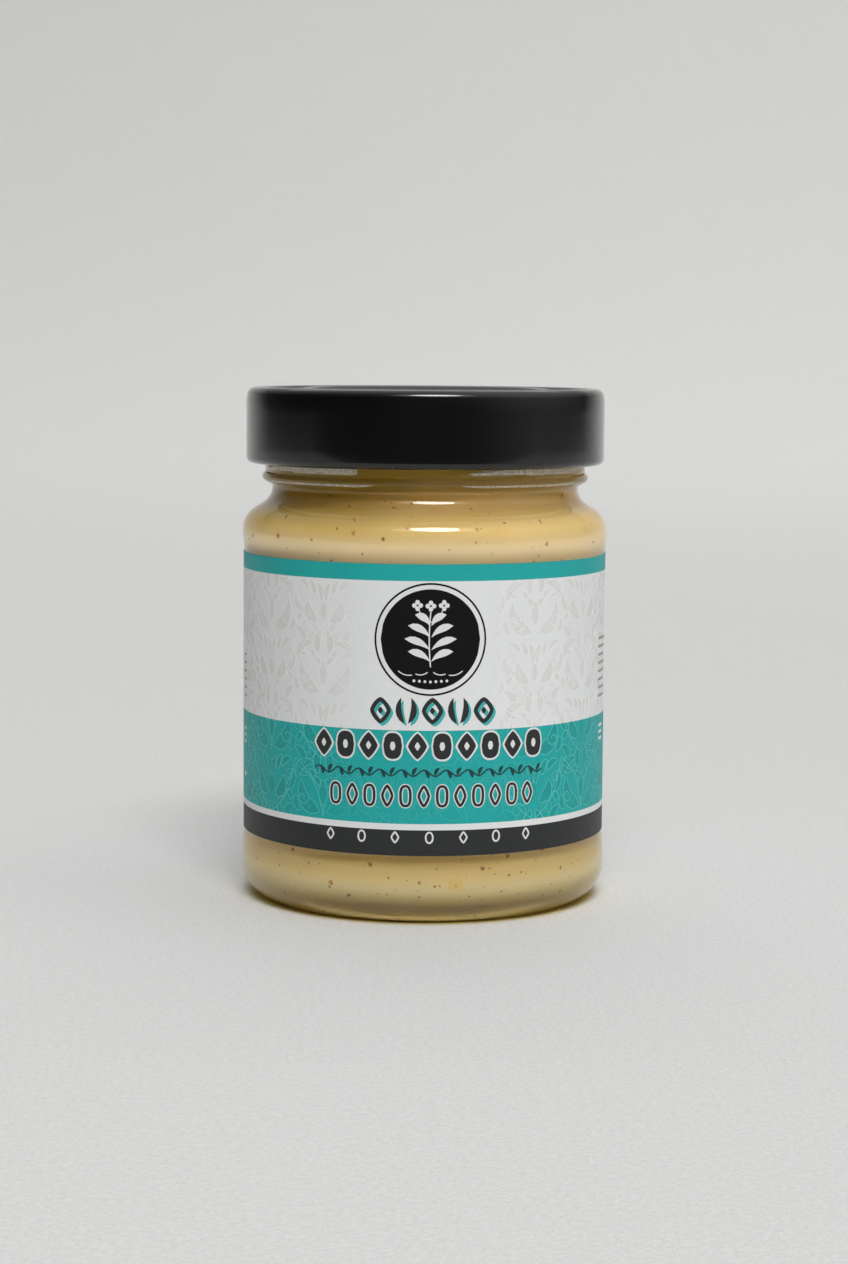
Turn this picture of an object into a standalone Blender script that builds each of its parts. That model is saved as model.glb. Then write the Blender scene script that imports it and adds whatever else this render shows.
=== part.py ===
"""A shut glass jar of mustard, with its black twist-off lid and its paper wrap label.

Metres, +Z up. The origin is the middle of the ring that the jar stands on, and the front faces -Y.
"""

import math

import bmesh
import bpy
from mathutils import Matrix, Vector

MM = 0.001

# Straight sides round every turned piece, and short runs along a quarter of an arc
SIDES = 48
ARC_STEPS = 5

# Clear space between neighbouring solids
GAP = 0.3 * MM

# Outside of the jar, from the foot up
FOOT_INNER_RADIUS = 25.8 * MM
FOOT_RADIUS = 28.3 * MM
PUSH_UP_HEIGHT = 2.2 * MM
HEEL_RADIUS = 33.55 * MM
HEEL_HEIGHT = 6.0 * MM
SHOULDER_RADIUS = 33.5 * MM
SHOULDER_HEIGHT = 67.2 * MM
SHOULDER_ROUND = 4.9 * MM
NECK_RADIUS = 28.05 * MM
NECK_HEIGHT = 75.25 * MM
NECK_ROUND = 3.5 * MM
SHOULDER_TURN = 57.6
BEAD_RADIUS = 29.9 * MM
BEAD_HEIGHT = 77.1 * MM
BEAD_ROUND = 1.0 * MM
BEAD_UPPER_TURN = 63
BEAD_LOWER_TURN = 53
FINISH_RADIUS = 29.35 * MM
LIP_HEIGHT = 91.5 * MM
LIP_OUTER_ROUND = 1.0 * MM
LIP_INNER_ROUND = 0.8 * MM

# Inside of the jar
FLOOR_HEIGHT = 3.6 * MM
FLOOR_CROWN = 1.4 * MM
INNER_RADIUS = 30.5 * MM
INNER_HEEL_ROUND = 5.0 * MM
INNER_SHOULDER_ROUND = 2.6 * MM
BORE_RADIUS = 26.4 * MM
INNER_NECK_ROUND = 5.0 * MM

# Thread lugs on the finish, with the one right of the front placed by its blunt end, in degrees
LUG_COUNT = 4
LUG_ROOT_RADIUS = FINISH_RADIUS - 0.6 * MM
LUG_RADIUS = 30.3 * MM
LUG_BASE = 78.35 * MM
LUG_TALL = 2.9 * MM
LUG_CHAMFER = 0.5 * MM
LUG_END = 65.5
LUG_TURN = 45
LUG_STEPS = 6
LUG_TIP_TURN = 9
LUG_TIP_SIZE = 0.15

# Label, wrapped round the panel between the heel and the shoulder, open at the back
LABEL_RADIUS = 33.3 * MM
LABEL_THICKNESS = 0.25 * MM
LABEL_BOTTOM = 12.45 * MM
LABEL_TOP = 63.4 * MM
LABEL_OPEN_SIDES = 1

# Mustard, filled up into the neck
MUSTARD_LEVEL = 82.0 * MM

# Lid, pressed from sheet with a rolled lower edge
LID_RADIUS = 32.8 * MM
LID_BOTTOM = 79.5 * MM
LID_TALL = 13.8 * MM
LID_WALL = 0.45 * MM
LID_TOP_ROUND = 1.6 * MM
LID_NECKING = 0.1 * MM
LID_CURL_ROUND = 1.15 * MM
LID_CURL_INNER_RADIUS = 30.9 * MM
LID_CURL_TALL = 1.4 * MM
LID_RIM_RADIUS = 31.1 * MM
LID_PANEL_RADIUS = 29.2 * MM
LID_PANEL_DROP = 1.05 * MM
LID_CENTRE_RADIUS = 22.5 * MM
LID_CENTRE_RISE = 0.25 * MM
LID_CENTRE_SLOPE = 1.5 * MM

SHARP_ANGLE = math.radians(35)


def clear_scene():
    for old in list(bpy.data.objects):
        bpy.data.objects.remove(old, do_unlink=True)


def new_collection(name, hidden=False):
    collection = bpy.data.collections.new(name)
    bpy.context.scene.collection.children.link(collection)
    collection.hide_render = hidden
    return collection


def material(name, colour, roughness, metallic=0.0, **sockets):
    """A Principled material; further sockets are given by name, with _ for a space."""
    made = bpy.data.materials.new(name)
    made.use_nodes = True
    shader = made.node_tree.nodes["Principled BSDF"]
    shader.inputs["Base Color"].default_value = (*colour, 1.0)
    shader.inputs["Roughness"].default_value = roughness
    shader.inputs["Metallic"].default_value = metallic
    for socket, value in sockets.items():
        shader.inputs[socket.replace("_", " ")].default_value = value
    made.diffuse_color = (*colour, 1.0)
    return made


def arc(radius, height, round_r, start, end, round_z=None):
    """(radius, height) points on a round of the profile, with angles in degrees up from +X."""
    round_z = round_r if round_z is None else round_z
    steps = max(2, math.ceil(abs(end - start) / 90 * ARC_STEPS))
    turns = [math.radians(start + (end - start) * i / steps) for i in range(steps + 1)]
    return [(radius + round_r * math.cos(t), height + round_z * math.sin(t)) for t in turns]


def turned(name, profile, collection, finish):
    """A solid of revolution from (radius, height) points that run down its outer side."""
    shape = bmesh.new()
    corners = [shape.verts.new((radius, 0.0, height)) for radius, height in profile]
    for first, second in zip(corners, corners[1:]):
        shape.edges.new((first, second))
    mesh = bpy.data.meshes.new(name)
    shape.to_mesh(mesh)
    shape.free()
    mesh.materials.append(finish)
    piece = bpy.data.objects.new(name, mesh)
    collection.objects.link(piece)
    screw = piece.modifiers.new("turn", "SCREW")
    screw.steps = screw.render_steps = SIDES
    screw.use_merge_vertices = True
    screw.merge_threshold = 0.01 * MM
    return piece


def apply_and_shade(piece):
    """Turns the modifiers' result into the piece's own mesh, smooth but for its real edges."""
    graph = bpy.context.evaluated_depsgraph_get()
    mesh = bpy.data.meshes.new_from_object(piece.evaluated_get(graph))
    piece.modifiers.clear()
    piece.data = mesh
    mesh.shade_smooth()
    mesh.set_sharp_from_angle(angle=SHARP_ANGLE)


def inside_of_jar(clearance):
    """The jar's inner wall from the middle of its floor to the bore, or a skin clear of it."""
    floor = FLOOR_HEIGHT + INNER_HEEL_ROUND
    shoulder_middle = INNER_RADIUS - INNER_SHOULDER_ROUND
    turn = math.radians(SHOULDER_TURN)
    run = shoulder_middle + INNER_SHOULDER_ROUND * math.cos(turn)
    run -= BORE_RADIUS + INNER_NECK_ROUND * (1 - math.cos(turn))
    rise = (INNER_SHOULDER_ROUND + INNER_NECK_ROUND) * math.sin(turn) + run / math.tan(turn)
    neck_middle = BORE_RADIUS + INNER_NECK_ROUND
    path = [(0.0, FLOOR_HEIGHT + FLOOR_CROWN + clearance)]
    path += [(0.5 * INNER_RADIUS, FLOOR_HEIGHT + 0.7 * FLOOR_CROWN + clearance)]
    path += arc(INNER_RADIUS - INNER_HEEL_ROUND, floor, INNER_HEEL_ROUND - clearance, -90, 0)
    path += arc(shoulder_middle, SHOULDER_HEIGHT, INNER_SHOULDER_ROUND - clearance, 0, SHOULDER_TURN)
    path += arc(neck_middle, SHOULDER_HEIGHT + rise, INNER_NECK_ROUND + clearance, 180 + SHOULDER_TURN, 180)
    return path


def outside_of_jar():
    """The jar's outer side from the lip down to the middle of its base."""
    panel = LABEL_RADIUS - LABEL_THICKNESS - GAP
    path = arc(FINISH_RADIUS - LIP_OUTER_ROUND, LIP_HEIGHT - LIP_OUTER_ROUND, LIP_OUTER_ROUND, 90, 0)
    path += arc(BEAD_RADIUS - BEAD_ROUND, BEAD_HEIGHT, BEAD_ROUND, BEAD_UPPER_TURN, -BEAD_LOWER_TURN)
    path += [(NECK_RADIUS + 0.2 * MM, NECK_HEIGHT + 0.4 * MM)]
    path += arc(NECK_RADIUS + NECK_ROUND, NECK_HEIGHT, NECK_ROUND, 180, 180 + SHOULDER_TURN)
    path += arc(SHOULDER_RADIUS - SHOULDER_ROUND, SHOULDER_HEIGHT, SHOULDER_ROUND, SHOULDER_TURN, 0)
    path += [
        (SHOULDER_RADIUS, SHOULDER_HEIGHT - 0.8 * MM),
        (SHOULDER_RADIUS - 0.2 * MM, LABEL_TOP + 1.4 * MM),
        (panel, LABEL_TOP + GAP),
        (panel, LABEL_BOTTOM - GAP),
        (HEEL_RADIUS - 0.3 * MM, LABEL_BOTTOM - 1.0 * MM),
        (HEEL_RADIUS - 0.05 * MM, LABEL_BOTTOM - 3.0 * MM),
    ]
    path += arc(FOOT_RADIUS, HEEL_HEIGHT, HEEL_RADIUS - FOOT_RADIUS, 0, -90, HEEL_HEIGHT)
    path += [
        (FOOT_INNER_RADIUS, 0.0),
        (FOOT_INNER_RADIUS - 1.0 * MM, 0.25 * PUSH_UP_HEIGHT),
        (0.75 * FOOT_INNER_RADIUS, 0.6 * PUSH_UP_HEIGHT),
        (0.4 * FOOT_INNER_RADIUS, 0.9 * PUSH_UP_HEIGHT),
        (0.0, PUSH_UP_HEIGHT),
    ]
    return path


def thread_lugs(collection):
    """The raised lugs, each starting in a point and ending blunt, as one mesh to join to the jar."""
    section = [
        (LUG_ROOT_RADIUS, LUG_BASE),
        (LUG_ROOT_RADIUS, LUG_BASE + LUG_TALL),
        (LUG_RADIUS - LUG_CHAMFER, LUG_BASE + LUG_TALL),
        (LUG_RADIUS, LUG_BASE + LUG_TALL - LUG_CHAMFER),
        (LUG_RADIUS, LUG_BASE + LUG_CHAMFER),
    ]
    shape = bmesh.new()
    blunt_end = shape.faces.new([shape.verts.new((radius, 0.0, height)) for radius, height in section])
    to_tip = Matrix.Rotation(-math.radians(LUG_TURN), 3, "Z")
    spun = bmesh.ops.spin(
        shape, geom=[blunt_end], axis=(0, 0, 1), cent=(0, 0, 0),
        angle=-math.radians(LUG_TURN), steps=LUG_STEPS,
    )
    last = [item for item in spun["geom_last"] if isinstance(item, bmesh.types.BMFace)]
    grown = bmesh.ops.extrude_face_region(shape, geom=last)["geom"]
    bmesh.ops.delete(shape, geom=last, context="FACES_ONLY")
    point = [item for item in grown if isinstance(item, bmesh.types.BMVert)]
    tip = to_tip @ Vector((LUG_ROOT_RADIUS, 0.0, LUG_BASE))
    for vert in point:
        vert.co = tip + LUG_TIP_SIZE * (vert.co - tip)
    tip_turn = Matrix.Rotation(-math.radians(LUG_TIP_TURN), 3, "Z")
    bmesh.ops.rotate(shape, verts=point, cent=(0, 0, 0), matrix=tip_turn)
    place = Matrix.Rotation(math.radians(LUG_END - 90), 3, "Z")
    bmesh.ops.rotate(shape, verts=shape.verts, cent=(0, 0, 0), matrix=place)
    bmesh.ops.recalc_face_normals(shape, faces=shape.faces)
    first_lug = shape.verts[:] + shape.edges[:] + shape.faces[:]
    for number in range(1, LUG_COUNT):
        copied = bmesh.ops.duplicate(shape, geom=first_lug)["geom"]
        verts = [item for item in copied if isinstance(item, bmesh.types.BMVert)]
        turn = Matrix.Rotation(number * 2 * math.pi / LUG_COUNT, 3, "Z")
        bmesh.ops.rotate(shape, verts=verts, cent=(0, 0, 0), matrix=turn)
    mesh = bpy.data.meshes.new("thread_lugs")
    shape.to_mesh(mesh)
    shape.free()
    lugs = bpy.data.objects.new("thread_lugs", mesh)
    lugs.hide_render = True
    lugs.display_type = "WIRE"
    collection.objects.link(lugs)
    return lugs


def make_jar(parts, helpers):
    glass = material("clear glass", (0.93, 0.96, 0.93), 0.02, IOR=1.52, Transmission_Weight=1.0)
    lip = arc(BORE_RADIUS + LIP_INNER_ROUND, LIP_HEIGHT - LIP_INNER_ROUND, LIP_INNER_ROUND, 180, 90)
    jar = turned("jar", inside_of_jar(0.0) + lip + outside_of_jar(), parts, glass)
    thread = jar.modifiers.new("thread", "BOOLEAN")
    thread.operation = "UNION"
    thread.object = thread_lugs(helpers)
    apply_and_shade(jar)


def make_mustard(parts):
    """The filling, up to its level in the neck. Its profile runs down from the level."""
    paste = material("mustard", (0.62, 0.42, 0.13), 0.45, Coat_Weight=0.2)
    skin = [point for point in inside_of_jar(GAP) if point[1] < MUSTARD_LEVEL]
    skin += [(BORE_RADIUS - GAP, MUSTARD_LEVEL), (0.0, MUSTARD_LEVEL)]
    floor = skin[0][1]
    profile = [(radius, height - floor) for radius, height in reversed(skin)]
    mustard = turned("mustard", profile, parts, paste)
    mustard.location.z = floor
    apply_and_shade(mustard)


def make_label(parts):
    """The paper, as an upright line turned nearly all the way round and then thickened inwards."""
    paper = material("label paper", (0.78, 0.80, 0.79), 0.55)
    height = LABEL_TOP - LABEL_BOTTOM
    label = turned("label", [(LABEL_RADIUS, height), (LABEL_RADIUS, 0.0)], parts, paper)
    side = 2 * math.pi / SIDES
    screw = label.modifiers["turn"]
    screw.steps = screw.render_steps = SIDES - LABEL_OPEN_SIDES
    screw.angle = screw.steps * side
    screw.use_merge_vertices = False
    thickness = label.modifiers.new("thickness", "SOLIDIFY")
    thickness.thickness = LABEL_THICKNESS
    thickness.offset = -1
    label.location.z = LABEL_BOTTOM
    label.rotation_euler.z = math.pi / 2 + LABEL_OPEN_SIDES * side
    apply_and_shade(label)


def make_lid(parts):
    """The cap, with a raised rim round a sunk panel, and an edge that is rolled inwards below."""
    lacquer = material("black lacquer", (0.012, 0.012, 0.013), 0.3, Coat_Weight=0.5)
    panel = LID_TALL - LID_PANEL_DROP
    centre = panel + LID_CENTRE_RISE
    corner = LID_RADIUS - LID_NECKING - LID_TOP_ROUND
    inner = LID_RADIUS - LID_WALL
    outside = [
        (0.0, centre),
        (LID_CENTRE_RADIUS, centre),
        (LID_CENTRE_RADIUS + LID_CENTRE_SLOPE, panel),
        (LID_PANEL_RADIUS, panel),
        (LID_PANEL_RADIUS + 0.7 * MM, panel + 0.5 * LID_PANEL_DROP),
        (LID_RIM_RADIUS - 0.7 * MM, LID_TALL - 0.15 * MM),
    ]
    outside += arc(corner, LID_TALL - LID_TOP_ROUND, LID_TOP_ROUND, 90, 0)
    outside += [(LID_RADIUS, LID_TALL - LID_TOP_ROUND - 0.4 * MM)]
    outside += arc(LID_RADIUS - LID_CURL_ROUND, LID_CURL_ROUND, LID_CURL_ROUND, 0, -90)
    inside = [
        (LID_CURL_INNER_RADIUS + 0.35 * MM, 0.0),
        (LID_CURL_INNER_RADIUS, 0.4 * MM),
        (LID_CURL_INNER_RADIUS, LID_CURL_TALL),
        (inner, LID_CURL_TALL + 0.8 * MM),
        (inner, LID_TALL - LID_TOP_ROUND),
        (LID_RIM_RADIUS, LID_TALL - LID_WALL - 0.05 * MM),
        (LID_RIM_RADIUS - 0.6 * MM, LID_TALL - LID_WALL - 0.2 * MM),
        (LID_PANEL_RADIUS - 0.1 * MM, panel - LID_WALL),
        (LID_CENTRE_RADIUS + LID_CENTRE_SLOPE, panel - LID_WALL),
        (LID_CENTRE_RADIUS, centre - LID_WALL),
        (0.0, centre - LID_WALL),
    ]
    lid = turned("lid", outside + inside, parts, lacquer)
    lid.location.z = LID_BOTTOM
    apply_and_shade(lid)


clear_scene()
jar_parts = new_collection("mustard_jar")
joining_shapes = new_collection("joining_shapes", hidden=True)
make_jar(jar_parts, joining_shapes)
make_mustard(jar_parts)
make_label(jar_parts)
make_lid(jar_parts)
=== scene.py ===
"""A shut glass jar of grainy mustard, with its black twist-off lid and its printed paper label.

Metres, +Z up. The origin is the middle of the ring that the jar stands on, and the front faces -Y.
"""

import math

import bmesh
import bpy
from mathutils import Matrix, Vector, noise


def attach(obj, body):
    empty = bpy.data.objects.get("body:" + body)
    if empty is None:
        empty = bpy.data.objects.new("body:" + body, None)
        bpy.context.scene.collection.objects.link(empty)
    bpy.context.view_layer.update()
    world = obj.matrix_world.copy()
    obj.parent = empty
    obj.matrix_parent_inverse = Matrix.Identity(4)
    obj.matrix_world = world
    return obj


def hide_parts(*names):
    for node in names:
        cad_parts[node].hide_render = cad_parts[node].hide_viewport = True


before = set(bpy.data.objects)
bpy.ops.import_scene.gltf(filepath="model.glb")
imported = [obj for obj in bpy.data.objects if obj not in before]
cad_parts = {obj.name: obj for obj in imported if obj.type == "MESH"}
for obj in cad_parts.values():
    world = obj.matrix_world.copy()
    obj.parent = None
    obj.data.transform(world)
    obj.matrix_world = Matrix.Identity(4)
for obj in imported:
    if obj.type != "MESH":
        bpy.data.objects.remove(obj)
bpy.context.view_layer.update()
MM = 0.001


# The jar: clear pressed glass, one wall from a thick, pushed-up base through the round shoulder to the
# neck, where a bead and four short lugs carry the lid. The lugs, a strip under the bead's crest and the
# edge that it stands on are stippled, and the wall is faintly wavy from the mould.
FOOT_INNER_RADIUS = 25.8 * MM
FOOT_RADIUS = 28.3 * MM
FOOT_ROUND = 0.35 * MM
PUSH_UP_HEIGHT = 2.2 * MM
HEEL_RADIUS = 33.55 * MM
HEEL_HEIGHT = 6.0 * MM
PANEL_RADIUS = 33.15 * MM
LABEL_BOTTOM = 12.45 * MM
LABEL_TOP = 63.4 * MM
SHOULDER_RADIUS = 33.5 * MM
SHOULDER_HEIGHT = 67.2 * MM
SHOULDER_ROUND = 4.9 * MM
SHOULDER_TURN = 57.6
NECK_RADIUS = 28.05 * MM
NECK_HEIGHT = 75.25 * MM
NECK_ROUND = 3.5 * MM
BEAD_RADIUS = 29.9 * MM
BEAD_HEIGHT = 77.1 * MM
BEAD_ROUND = 1.0 * MM
FINISH_RADIUS = 29.35 * MM
LIP_HEIGHT = 91.5 * MM
LIP_ROUND = 1.0 * MM
LIP_INNER_ROUND = 0.8 * MM
FLOOR_HEIGHT = 3.6 * MM
FLOOR_CROWN = 1.4 * MM
INNER_RADIUS = 30.5 * MM
INNER_HEEL_ROUND = 5.0 * MM
INNER_SHOULDER_ROUND = 2.6 * MM
BORE_RADIUS = 26.4 * MM
INNER_NECK_ROUND = 5.0 * MM
LUG_COUNT = 4
LUG_RISE = 0.95 * MM
LUG_BASE = 78.35 * MM
LUG_TALL = 2.9 * MM
LUG_CHAMFER = 0.5 * MM
# A lug's turns are in degrees, and its blunt end is counted from the front to the right.
LUG_END = 65.5
LUG_TURN = 22
LUG_TIP_TURN = 32
LUG_TIP_SIZE = 0.15
BEAD_STIPPLE_DROP = 0.4 * MM
BEAD_STIPPLE_TALL = 0.45 * MM
BEAD_STIPPLE_MARGIN = 8
JAR_SIDES = 288
CLOSEST = 0.002 * MM
GLASS_IOR = 1.52
WALL_TINTS = ((0.965, 0.98, 0.965), (0.975, 0.985, 0.97))
BASE_TINT = (0.88, 0.93, 0.75)
STIPPLE_TINTS = ((0.60, 0.58, 0.47), (1.0, 0.98, 0.90))


class Socket:
    """An output of a shader node, on which sums add Math nodes to the same material."""

    def __init__(self, finish, output):
        self.finish = finish
        self.output = output

    def maths(self, operation, first, second):
        return self.finish.add("ShaderNodeMath", {"operation": operation}, {0: first, 1: second})["Value"]

    def __add__(self, other):
        return self.maths("ADD", self, other)

    def __sub__(self, other):
        return self.maths("SUBTRACT", self, other)

    def __rsub__(self, other):
        return self.maths("SUBTRACT", other, self)

    def __mul__(self, other):
        return self.maths("MULTIPLY", self, other)

    def __pow__(self, other):
        return self.maths("POWER", self, other)

    def __gt__(self, other):
        return self.maths("GREATER_THAN", self, other)

    def __lt__(self, other):
        return self.maths("LESS_THAN", self, other)

    __radd__ = __add__
    __rmul__ = __mul__


class Nodes:
    """The shader nodes of a material or of the room, which are all added by one method."""

    def __init__(self, tree, shader):
        self.tree = tree
        self.shader = tree.nodes[shader]

    def add(self, kind, settings={}, sockets={}):
        """Adds a node, sets it up and then fills its sockets. Returns its outputs by name."""
        node = self.tree.nodes.new(kind)
        for name, value in settings.items():
            setattr(node, name, value)
        self.fill(node, sockets)
        return {output.name: Socket(self, output) for output in node.outputs if output.enabled}

    def fill(self, node, sockets):
        """Links or sets the sockets of a node. A colour is given without its alpha."""
        for name, value in sockets.items():
            socket = node.inputs[name]
            if isinstance(value, Socket):
                self.tree.links.new(value.output, socket)
            elif socket.type == "RGBA":
                socket.default_value = (*value, 1.0)
            else:
                socket.default_value = value

    def shade(self, sockets):
        """Fills sockets of the shader itself."""
        self.fill(self.shader, sockets)


class Finish(Nodes):
    """A material, with the object's own coordinates ready for its patterns."""

    def __init__(self, name):
        self.material = bpy.data.materials.new(name)
        self.material.use_nodes = True
        super().__init__(self.material.node_tree, "Principled BSDF")
        self.place = self.add("ShaderNodeTexCoord")["Object"]
        axes = self.add("ShaderNodeSeparateXYZ", {}, {"Vector": self.place})
        self.x, self.y, self.z = axes["X"], axes["Y"], axes["Z"]

    def mix(self, factor, first, second):
        """One colour where factor is 0 and the other where it is 1."""
        sockets = {0: factor, 6: first, 7: second}
        return self.add("ShaderNodeMix", {"data_type": "RGBA"}, sockets)["Result"]

    def ease(self, value, start, end):
        """0 up to start, 1 from end on, and smooth between them."""
        settings = {"interpolation_type": "SMOOTHSTEP"}
        sockets = {"Value": value, "From Min": start, "From Max": end}
        return self.add("ShaderNodeMapRange", settings, sockets)["Result"]

    def cloud(self, scale, detail=2.0, roughness=0.5):
        """Soft noise from 0 to 1, with the given number of lumps in a metre."""
        sockets = {"Vector": self.place, "Scale": scale, "Detail": detail, "Roughness": roughness}
        return self.add("ShaderNodeTexNoise", {}, sockets)["Fac"]

    def bump(self, height, distance):
        """A normal for low relief, which rises by that distance where height is 1."""
        sockets = {"Height": height, "Distance": distance, "Strength": 1.0}
        return self.add("ShaderNodeBump", {}, sockets)["Normal"]


def arc(radius, height, round_r, start, end, round_z=None, step=6):
    """(radius, height) points on a round of a profile, with angles in degrees up from +X."""
    round_z = round_r if round_z is None else round_z
    steps = max(2, math.ceil(abs(end - start) / step))
    turns = [math.radians(start + (end - start) * i / steps) for i in range(steps + 1)]
    return [(radius + round_r * math.cos(t), height + round_z * math.sin(t)) for t in turns]


def between(first, last, count):
    """Evenly spaced points after first and before last, so that a straight run can take a shape."""
    shares = [i / (count + 1) for i in range(1, count + 1)]
    return [tuple(a + (b - a) * share for a, b in zip(first, last)) for share in shares]


def turned(profile, sides):
    """A shape spun once round Z from (radius, height) points, with its poles and its seam closed."""
    shape = bmesh.new()
    points = [shape.verts.new((radius, 0.0, height)) for radius, height in profile]
    for first, second in zip(points, points[1:]):
        shape.edges.new((first, second))
    bmesh.ops.spin(
        shape, geom=shape.verts[:] + shape.edges[:], axis=(0, 0, 1), cent=(0, 0, 0),
        angle=2 * math.pi, steps=sides, use_merge=True,
    )
    bmesh.ops.remove_doubles(shape, verts=shape.verts, dist=CLOSEST)
    bmesh.ops.recalc_face_normals(shape, faces=shape.faces)
    return shape


def as_piece(name, shape, finishes, sharp=35):
    """The object for a shape, smooth but for its real edges, which rides with the jar."""
    mesh = bpy.data.meshes.new(name)
    shape.to_mesh(mesh)
    shape.free()
    mesh.shade_smooth()
    mesh.set_sharp_from_angle(angle=math.radians(sharp))
    for finish in finishes:
        mesh.materials.append(finish.material)
    piece = bpy.data.objects.new(name, mesh)
    bpy.context.scene.collection.objects.link(piece)
    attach(piece, "root")
    return piece


def inside_of_jar(into_glass):
    """The inner wall from the middle of the floor to the bore, or a skin that reaches into it."""
    floor = FLOOR_HEIGHT + INNER_HEEL_ROUND
    shoulder_middle = INNER_RADIUS - INNER_SHOULDER_ROUND
    turn = math.radians(SHOULDER_TURN)
    run = shoulder_middle + INNER_SHOULDER_ROUND * math.cos(turn)
    run -= BORE_RADIUS + INNER_NECK_ROUND * (1 - math.cos(turn))
    rise = (INNER_SHOULDER_ROUND + INNER_NECK_ROUND) * math.sin(turn) + run / math.tan(turn)
    neck_middle = (BORE_RADIUS + INNER_NECK_ROUND, SHOULDER_HEIGHT + rise)
    path = [(0.0, FLOOR_HEIGHT + FLOOR_CROWN - into_glass)]
    for share in (0.25, 0.5, 0.7):
        drop = FLOOR_CROWN * (1 - share**2)
        path.append((share * INNER_RADIUS, FLOOR_HEIGHT + drop - into_glass))
    path += arc(INNER_RADIUS - INNER_HEEL_ROUND, floor, INNER_HEEL_ROUND + into_glass, -90, 0)
    wall_foot, wall_top = path[-1], (INNER_RADIUS + into_glass, SHOULDER_HEIGHT)
    path += between(wall_foot, wall_top, 8)
    path += arc(shoulder_middle, SHOULDER_HEIGHT, INNER_SHOULDER_ROUND + into_glass, 0, SHOULDER_TURN)
    path += arc(*neck_middle, INNER_NECK_ROUND - into_glass, 180 + SHOULDER_TURN, 180)
    return path


def outside_of_jar():
    """The outer side from the lip down to the middle of the base."""
    path = arc(FINISH_RADIUS - LIP_ROUND, LIP_HEIGHT - LIP_ROUND, LIP_ROUND, 90, 0, step=15)
    finish_top = (FINISH_RADIUS, LUG_BASE + LUG_TALL + 0.3 * MM)
    bead = arc(BEAD_RADIUS - BEAD_ROUND, BEAD_HEIGHT, BEAD_ROUND, 63, -53)
    path += [finish_top] + between(finish_top, bead[0], 20) + bead
    path += [(NECK_RADIUS + 0.2 * MM, NECK_HEIGHT + 0.4 * MM)]
    path += arc(NECK_RADIUS + NECK_ROUND, NECK_HEIGHT, NECK_ROUND, 180, 180 + SHOULDER_TURN)
    path += arc(SHOULDER_RADIUS - SHOULDER_ROUND, SHOULDER_HEIGHT, SHOULDER_ROUND, SHOULDER_TURN, 0)
    panel_top = (PANEL_RADIUS, LABEL_TOP + 0.2 * MM)
    panel_foot = (PANEL_RADIUS, LABEL_BOTTOM - 0.2 * MM)
    path += [(SHOULDER_RADIUS - 0.02 * MM, SHOULDER_HEIGHT - 0.9 * MM)]
    path += [(SHOULDER_RADIUS - 0.15 * MM, LABEL_TOP + 1.6 * MM), panel_top]
    path += between(panel_top, panel_foot, 6)
    path += [panel_foot, (HEEL_RADIUS - 0.2 * MM, LABEL_BOTTOM - 1.4 * MM)]
    path += [(HEEL_RADIUS - 0.04 * MM, LABEL_BOTTOM - 3.2 * MM)]
    path += arc(FOOT_RADIUS, HEEL_HEIGHT, HEEL_RADIUS - FOOT_RADIUS, 0, -80, HEEL_HEIGHT, step=5)
    path += [(FOOT_RADIUS - 0.3 * MM, 0.0), (FOOT_INNER_RADIUS + FOOT_ROUND, 0.0)]
    path += [(FOOT_INNER_RADIUS, 0.12 * MM), (FOOT_INNER_RADIUS - 0.6 * MM, 0.45 * MM)]
    for share in (0.85, 0.65, 0.4, 0.2, 0.0):
        path.append((share * FOOT_INNER_RADIUS, PUSH_UP_HEIGHT * (1 - share**2)))
    return path


def past_lug_end(point):
    """Degrees from the blunt end of a lug, in the direction of its point."""
    turn = math.degrees(math.atan2(point.x, -point.y))
    return (LUG_END - turn) % (360 / LUG_COUNT)


def raise_lugs(shape):
    """Pushes the finish outwards in short bands that start in a point and end blunt."""
    for vert in shape.verts:
        radius, height = vert.co.xy.length, vert.co.z - LUG_BASE
        if radius < FINISH_RADIUS - 0.05 * MM or not 0 < height < LUG_TALL:
            continue
        past_end = past_lug_end(vert.co)
        grown = min(1.0, max(0.0, (LUG_TURN + LUG_TIP_TURN - past_end) / LUG_TIP_TURN))
        if past_end < 0.3 or grown == 0:
            continue
        size = LUG_TIP_SIZE + (1 - LUG_TIP_SIZE) * grown
        from_edges = min(height, LUG_TALL * size - height)
        rise = min(1.0, max(0.0, from_edges / LUG_CHAMFER))
        lug_radius = FINISH_RADIUS + LUG_RISE * rise * size
        if lug_radius > radius:
            vert.co.xy *= lug_radius / radius


clear_glass = Finish("clear glass")
thick = 1 - clear_glass.ease(clear_glass.z, 1.5 * MM, 5.0 * MM)
wall_tint = clear_glass.mix(clear_glass.cloud(30, 1.0), *WALL_TINTS)
clear_glass.shade({
    "Base Color": clear_glass.mix(thick, wall_tint, BASE_TINT),
    "Roughness": 0.0,
    "IOR": GLASS_IOR,
    "Transmission Weight": 1.0,
    "Normal": clear_glass.bump(clear_glass.cloud(70, 1.0), 0.04 * MM),
})

stippled_glass = Finish("stippled glass")
grit = stippled_glass.ease(stippled_glass.cloud(1700, 3.0, 0.7), 0.35, 0.65)
stippled_glass.shade({
    "Base Color": stippled_glass.mix(grit, *STIPPLE_TINTS),
    "Roughness": 0.35,
    "IOR": GLASS_IOR,
    "Transmission Weight": 0.4,
    "Normal": stippled_glass.bump(stippled_glass.cloud(2600, 1.0), 0.3 * MM),
})

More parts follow.
